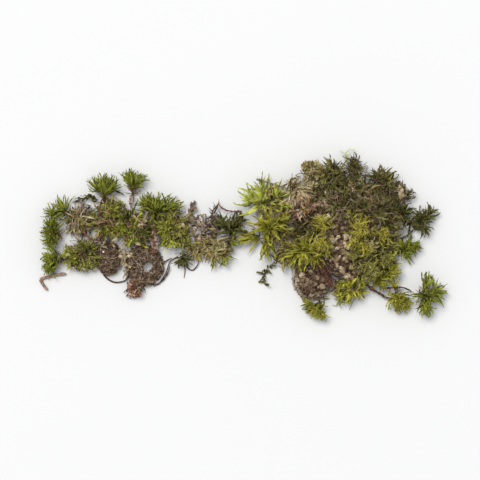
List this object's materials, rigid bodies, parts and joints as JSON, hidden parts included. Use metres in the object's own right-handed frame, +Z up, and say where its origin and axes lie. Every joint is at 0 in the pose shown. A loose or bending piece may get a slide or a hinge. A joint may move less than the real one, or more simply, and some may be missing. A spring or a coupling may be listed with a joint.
{
  "type": "moss clump",
  "caption": "Clump of star moss torn from the ground: a sandy clod with bright and dark leafy shoots, and a looser strand of tufts, roots and dead stems trailing from it.",
  "frame": {"origin": "middle of the clump's footprint, on the surface it lies on", "axes": "+X along the clump from the loose strand to the dense clod, +Z up, away from the surface"},
  "size_m": [0.1224, 0.0516, 0.0159],
  "materials": {
    "sandy_soil": "crumbly grey-brown soil with pale quartz grains and fine roots, matt",
    "bright_moss": "yellow-green moss leaves, thin and translucent, satin",
    "olive_moss": "olive moss leaves, partly dry, satin to matt",
    "dark_moss": "dark green and brown wilted moss leaves, matt",
    "dead_leaf": "tan dry leaves and straw, matt",
    "red_stem": "red-brown wiry stems and dead leaves, satin"
  },
  "bodies": {
    "root": {"bent_dead_stalk": "red_stem", "big_tuft": "bright_moss", "bright_rosette_lower": "bright_moss", "bright_rosette_upper": "bright_moss", "bright_shoot_corner": "bright_moss", "curly_shoot_centre": "bright_moss", "curly_shoot_right": "bright_moss", "curly_shoot_upper": "bright_moss", "dark_mat_left": "dark_moss", "dark_mat_low": "dark_moss", "dark_mat_middle": "dark_moss", "dark_mat_right": "dark_moss", "dark_mat_top": "dark_moss", "dark_shoot_link": "dark_moss", "dark_shoot_low": "dark_moss", "dead_branching_stem": "red_stem", "dead_leaf_edge": "dead_leaf", "dead_leaf_mass": "dead_leaf", "dense_tuft_corner": "bright_moss", "dense_tuft_left": "bright_moss", "dry_frond": "dead_leaf", "fallen_sprig": "red_stem", "grainy_clod": "sandy_soil", "grass_twig": "dead_leaf", "green_mat_lower": "olive_moss", "green_mat_middle": "olive_moss", "green_mat_upper": "olive_moss", "grey_tangle": "dead_leaf", "hanging_tuft_left": "bright_moss", "hanging_tuft_middle": "bright_moss", "hanging_tuft_right": "bright_moss", "leafy_mat_bottom": "olive_moss", "link_stem": "red_stem", "olive_mat": "olive_moss", "olive_shoot_corner": "olive_moss", "pale_green_shoot": "bright_moss", "pale_strap": "dead_leaf", "red_brown_stem": "red_stem", "red_dead_leaves": "red_stem", "red_round_leaves": "red_stem", "red_stem_bundle": "red_stem", "root_mass": "sandy_soil", "round_leaf_shoots": "dark_moss", "side_shoot_dark_inner": "dark_moss", "side_shoot_dark_outer": "dark_moss", "side_shoot_green": "olive_moss", "small_shoot_right": "olive_moss", "soil_clod": "sandy_soil", "soil_lobe": "sandy_soil", "star_rosette": "bright_moss", "stem_dark_side": "red_stem", "stem_middle_tuft": "red_stem", "stem_right_tuft": "red_stem", "stem_tall_tuft": "red_stem", "tall_tuft_left": "bright_moss", "tall_tuft_right": "bright_moss", "wiry_stem": "red_stem", "yellow_green_mat": "olive_moss"}
  },
  "joints": []
}
